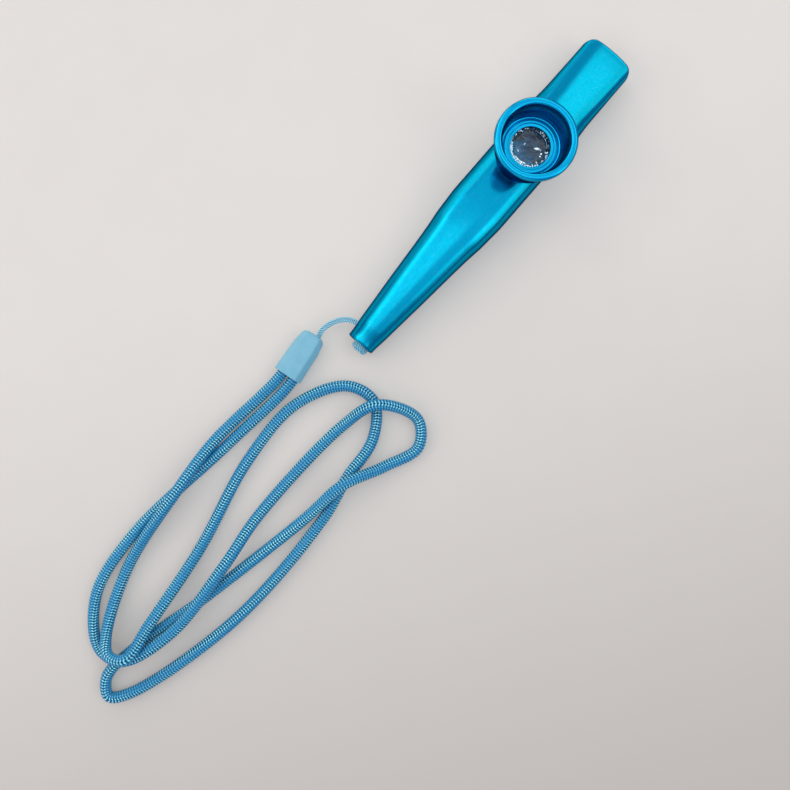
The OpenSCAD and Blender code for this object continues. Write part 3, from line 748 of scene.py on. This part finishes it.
film_angle = np.arange(400)[None] * 2 * np.pi / 400
film_top = np.concatenate([
    np.linspace(0.00002, fine_rows_start, 50)[:-1], np.linspace(fine_rows_start, fine_rows_end, 56),
    np.linspace(fine_rows_end, film_radius, 6)[1:],
])
film_rows = np.concatenate([film_top, film_top[::-5]])[:, None]
film_face = np.where(np.arange(len(film_rows)) < len(film_top), 1.0, -1.0)[:, None]
film_reach, film_heading = film_rows + 0 * film_angle, film_angle + 0 * film_rows
film_glints_and_shade = crease_glints_and_shade(film_reach, film_heading)
film_height = crinkle_height(film_reach, film_heading) + crease_height * film_glints_and_shade
film_height *= np.clip((clamped_radius - film_reach) / clamp_fade, 0, 1)
film_points = np.stack([
    turret_x + film_reach * np.cos(film_heading), film_reach * np.sin(film_heading),
    film_level + film_height + film_face * film_thickness / 2,
], axis=-1)
film = skin_piece("diaphragm_film_crinkled", film_points[:, ::-1], sharp=60)
crease = film.data.attributes.new("crease", "FLOAT", "POINT")
crease.data.foreach_set("value", film_glints_and_shade[:, ::-1].ravel().astype(np.float32))
film_finish = new_finish(
    "clear_film", Roughness=0.08, IOR=1.5, Coat_Weight=0.4, Coat_Roughness=0.04
)
# The film's painted reflection: teal towards -X and dark towards +X
film_west_reflection_colour, film_east_reflection_colour = (0.03, 0.2, 0.34), (0.004, 0.02, 0.05)
film_cloud_colour = (0.025, 0.07, 0.13)
fold_shade_colour, glint_colour = (0.003, 0.006, 0.01), (0.97, 1.0, 1.0)
tree = film_finish.node_tree
place = add_node(tree, "TexCoord").outputs["Object"]
centred = add_node(tree, "Mapping", {0: place, "Location": (-turret_x, 0, 0)}).outputs[0]
east = add_node(tree, "SeparateXYZ", {0: centred}).outputs[0]
cloud = mottle(tree, place, 0.003, 0.3, 0.7)
# The painted reflection goes from teal towards -X to dark towards +X, with blotches along its border
painted_reflection_side = spread(tree, calculate(tree, "MULTIPLY_ADD", cloud, 0.004, east), -0.003, 0.0045)
film_colour = between(tree, painted_reflection_side, film_west_reflection_colour, film_east_reflection_colour)
glints_and_shade = add_node(tree, "Attribute", attribute_name="crease").outputs["Fac"]
film_colour = between(tree, mottle(tree, place, 0.0012, 0.45, 0.75), film_colour, film_cloud_colour)
# Painted shade darkens the film in its folds, and painted white glints, made mirror-like, cover its creases
film_colour = between(tree, spread(tree, glints_and_shade, -0.05, -0.45), film_colour, fold_shade_colour)
painted_glint_share = spread(tree, glints_and_shade, 0.1, 0.35)
dress(
    [film], film_finish, Base_Color=between(tree, painted_glint_share, film_colour, glint_colour),
    Metallic=calculate(tree, "MULTIPLY", painted_glint_share, 0.9),
)
ring_finish = new_finish("film_ring", Roughness=0.25, Coat_Weight=0.3)
tree = ring_finish.node_tree
haze = mottle(tree, add_node(tree, "TexCoord").outputs["Object"], 0.0008, 0.3, 0.7)
dress(
    [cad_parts["diaphragm_ring"]], ring_finish,
    Base_Color=between(tree, haze, (0.42, 0.52, 0.6), (0.58, 0.66, 0.72)), Relief=(haze, 0.000005),
)
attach(film, "diaphragm")
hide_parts("diaphragm_film")


# The resonator cup
# Turned from aluminium bar and dyed with the body: a threaded skirt, a hollow flare under a rounded lip,
# a bowl with two steps, and a raised ring round the opening over the film. It screws on the collar.
def rounded_profile(corners, radii, steps=5):
    """A closed profile with each corner replaced by an arc: the points of a quadratic curve between two
    points that lie the corner's radius back along its two sides."""
    arcs = []
    for k, radius in enumerate(radii):
        corner = np.array(corners[k], float)
        sides = [np.array(corners[(k + j) % len(corners)], float) - corner for j in (-1, 1)]
        first, last = (corner + side * min(0.45, radius / np.linalg.norm(side)) for side in sides)
        t = np.linspace(0, 1, steps)[:, None]
        arcs.append((1 - t) ** 2 * first + 2 * t * (1 - t) * corner + t**2 * last)
    return np.vstack(arcs)


skirt_bottom, cup_top = cup_low[2], cup_high[2]
cup_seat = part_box("diaphragm_ring")[1][2]
floor_thickness = 0.0007
bowl_floor = cup_seat + floor_thickness
lip_radius, lip_half_width, lip_half_height = (cup_high[0] - cup_low[0]) / 2, 0.0011, 0.0012
lip_angle = np.radians(np.linspace(190, -10, 40))
lip_power = np.where(lip_angle > np.pi / 2, 0.5, 0.85)
lip_cosine, lip_sine = (np.sign(f) * np.abs(f) ** lip_power for f in (np.cos(lip_angle), np.sin(lip_angle)))
lip_points = np.stack([
    lip_radius - lip_half_width + lip_half_width * lip_cosine,
    cup_top - lip_half_height + lip_half_height * lip_sine,
], axis=1)
skirt_radius, flare_rise = 0.0102, 0.0006
flare_bottom = bowl_floor + flare_rise
flare_share = np.linspace(1, 0, 20)[1:]
flare_points = np.stack([
    skirt_radius + (lip_points[-1, 0] - skirt_radius) * (1 - np.cos(np.pi / 2 * flare_share)),
    flare_bottom + (lip_points[-1, 1] - flare_bottom) * flare_share,
], axis=1)
bowl_wall = lip_points[0, 1] - bowl_floor
lower_step, upper_step = bowl_floor + 0.35 * bowl_wall, bowl_floor + 0.8 * bowl_wall
step_slope = 0.0004
bowl_radii = (0.0089, 0.00925, 0.0096)
thread_radius, opening_radius = 0.00801, 0.006
ring_inside, ring_outside, ring_top = 0.0069, 0.008, bowl_floor + 0.0006
inner_corners = [
    (skirt_radius, skirt_bottom), (thread_radius, skirt_bottom), (thread_radius, cup_seat),
    (opening_radius, cup_seat), (opening_radius, bowl_floor), (ring_inside, bowl_floor),
    (ring_inside, ring_top), (ring_outside, ring_top), (ring_outside, bowl_floor),
    (bowl_radii[0], bowl_floor), (bowl_radii[0], lower_step - step_slope),
    (bowl_radii[1], lower_step + step_slope), (bowl_radii[1], upper_step - step_slope),
    (bowl_radii[2], upper_step + step_slope),
]
corner_radii = [
    0.0002, 0.0001, 0.0001, 0.0001, 0.0002, 0.0001, 0.00025, 0.0002,
    0.0004, 0.0004, 0.00015, 0.00015, 0.00015, 0.00015,
]
inner_profile = rounded_profile(inner_corners + [tuple(lip_points[0])], corner_radii)
cup_profile = np.vstack([inner_profile, lip_points, flare_points])
cup_rings = turned_rings(cup_profile, turret, 192)[:, ::-1]
cup = skin_piece("resonator_cup_turned", cup_rings, loop=True, sharp=40)
cup_finish = new_finish(
    "anodised_cup", Metallic=1.0, Specular_Tint=dyed_edge_tint, Coat_Weight=0.1, Coat_Roughness=0.08
)
cup_line_pitch = 0.00012
tree = cup_finish.node_tree
place = add_node(tree, "TexCoord").outputs["Object"]
cup_blotch = mottle(tree, place, dye_blotch_size, 0.3, 0.7)
cup_dye = between(tree, cup_blotch, (0.0015, 0.39, 0.67), (0.002, 0.405, 0.69))
turned = dyed_metal(tree, place, turning_lines(tree, cup_line_pitch))
dress([cup], cup_finish, **{**turned, "Base_Color": cup_dye})
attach(cup, "cup")
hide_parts("resonator_cup")


# The table and the light
# A pale matt table whose colour is painted darker towards one side, as shade where the lamps' light falls
# away, in a room whose lamps are panels with soft edges.
# even_share of the table's colour is shown evenly, without shading, to the camera and in reflections.
floor_mesh = bpy.data.meshes.new("table")
floor_mesh.from_pydata([(-2, -2, 0), (2, -2, 0), (2, 2, 0), (-2, 2, 0)], [], [(0, 1, 2, 3)])
floor = bpy.data.objects.new("table", floor_mesh)
bpy.context.scene.collection.objects.link(floor)
even_share = 0.3
light_falloff_way, light_falloff_start, light_falloff_end = (-0.53, -0.85, 0), -0.03, 0.25
table_finish = new_finish("table", Roughness=0.7)
tree = table_finish.node_tree
place = add_node(tree, "TexCoord").outputs["Object"]
downhill = add_node(
    tree, "VectorMath", {0: place, 1: light_falloff_way}, operation="DOT_PRODUCT"
).outputs["Value"]
pale = between(tree, mottle(tree, place, 0.02, 0.3, 0.7), (0.757, 0.7, 0.66), (0.767, 0.71, 0.67))
# Painted shade: the table's colour darkens along this way, where the light over it falls away
painted_falloff_shade = spread(tree, downhill, light_falloff_start, light_falloff_end)
table_colour = between(tree, painted_falloff_shade, pale, (0.495, 0.45, 0.42))
light_path = add_node(tree, "LightPath").outputs
seen = calculate(tree, "ADD", light_path["Is Camera Ray"], calculate(
    tree, "ADD", light_path["Is Glossy Ray"], light_path["Is Transmission Ray"]
))
shown_evenly = calculate(tree, "MULTIPLY", seen, even_share)
dress(
    [floor], table_finish, Base_Color=between(tree, shown_evenly, table_colour, (0, 0, 0)),
    Emission_Color=table_colour, Emission_Strength=shown_evenly,
)

world = bpy.data.worlds.new("room")
bpy.context.scene.world = world
world.use_nodes = True
room = world.node_tree
room_direction = add_node(room, "TexCoord").outputs["Generated"]


def soft_panel(along_x, along_y, half_x, half_y, turn, soft, colour, strength):
    """Light from a soft-edged rectangle of the room. Its middle is given by its angles from the zenith
    towards +X and +Y, and its half sides by angles too. On a plane square to the middle's direction, each
    side falls off as a smooth step of the distance from the middle."""
    lean, heading = math.radians(math.hypot(along_x, along_y)), math.atan2(along_y, along_x)
    level = math.sin(lean)
    middle = np.array([level * math.cos(heading), level * math.sin(heading), math.cos(lean)])
    across = np.cross((0, 1, 0), middle)
    across /= np.linalg.norm(across)
    upward = np.cross(middle, across)
    angle = math.radians(turn)
    sides = (
        math.cos(angle) * across + math.sin(angle) * upward,
        math.cos(angle) * upward - math.sin(angle) * across,
    )

    def reach(direction):
        inputs = {0: room_direction, 1: tuple(direction)}
        return add_node(room, "VectorMath", inputs, operation="DOT_PRODUCT").outputs["Value"]

    depth = reach(middle)
    share = calculate(room, "GREATER_THAN", depth, 0.05)
    for side, half in zip(sides, (half_x, half_y)):
        distance = calculate(room, "ABSOLUTE", calculate(room, "DIVIDE", reach(side), depth))
        low, high = (math.tan(math.radians(edge)) for edge in (max(half - soft, 0), half + soft))
        share = calculate(room, "MULTIPLY", share, spread(room, distance, high, low))
    light = tuple(strength * value for value in colour)
    return add_node(room, "VectorMath", {0: light, "Scale": share}, operation="SCALE").outputs[0]


white_light, blue_light, warm_light = (1.0, 1.0, 0.74), (0.8, 0.9, 0.87), (1.0, 0.8, 0.62)
room_light = (0.25, 0.31, 0.47)
for panel in (
    soft_panel(-4.4, 42.6, 3.7, 15.5, -16, 5, white_light, 2.15),
    soft_panel(15.3, 70, 23, 14, 43, 5, white_light, 1.06),
    soft_panel(-2.4, 11.7, 3, 19, 9, 5, white_light, 1.27),
    soft_panel(10.2, -56, 9, 16, 17, 5, white_light, 1.49),
    soft_panel(35, -18, 8, 28, 2, 4, white_light, 1.5),
    soft_panel(5.1, -3.3, 13.7, 53, 3, 5, blue_light, 0.97),
    soft_panel(36, 29, 21, 42, 4, 8, blue_light, 0.44),
    soft_panel(-62, 10, 28, 50, 0, 8, warm_light, 0.6),
    soft_panel(-40, 48, 16, 16, 0, 8, warm_light, 2.0),
    soft_panel(58, 40, 12, 16, 0, 6, warm_light, 2.0),
):
    room_light = add_node(room, "VectorMath", {0: room_light, 1: panel}, operation="ADD").outputs[0]
room.links.new(room_light, room.nodes["Background"].inputs["Color"])
bpy.context.scene.view_settings.view_transform = "Standard"
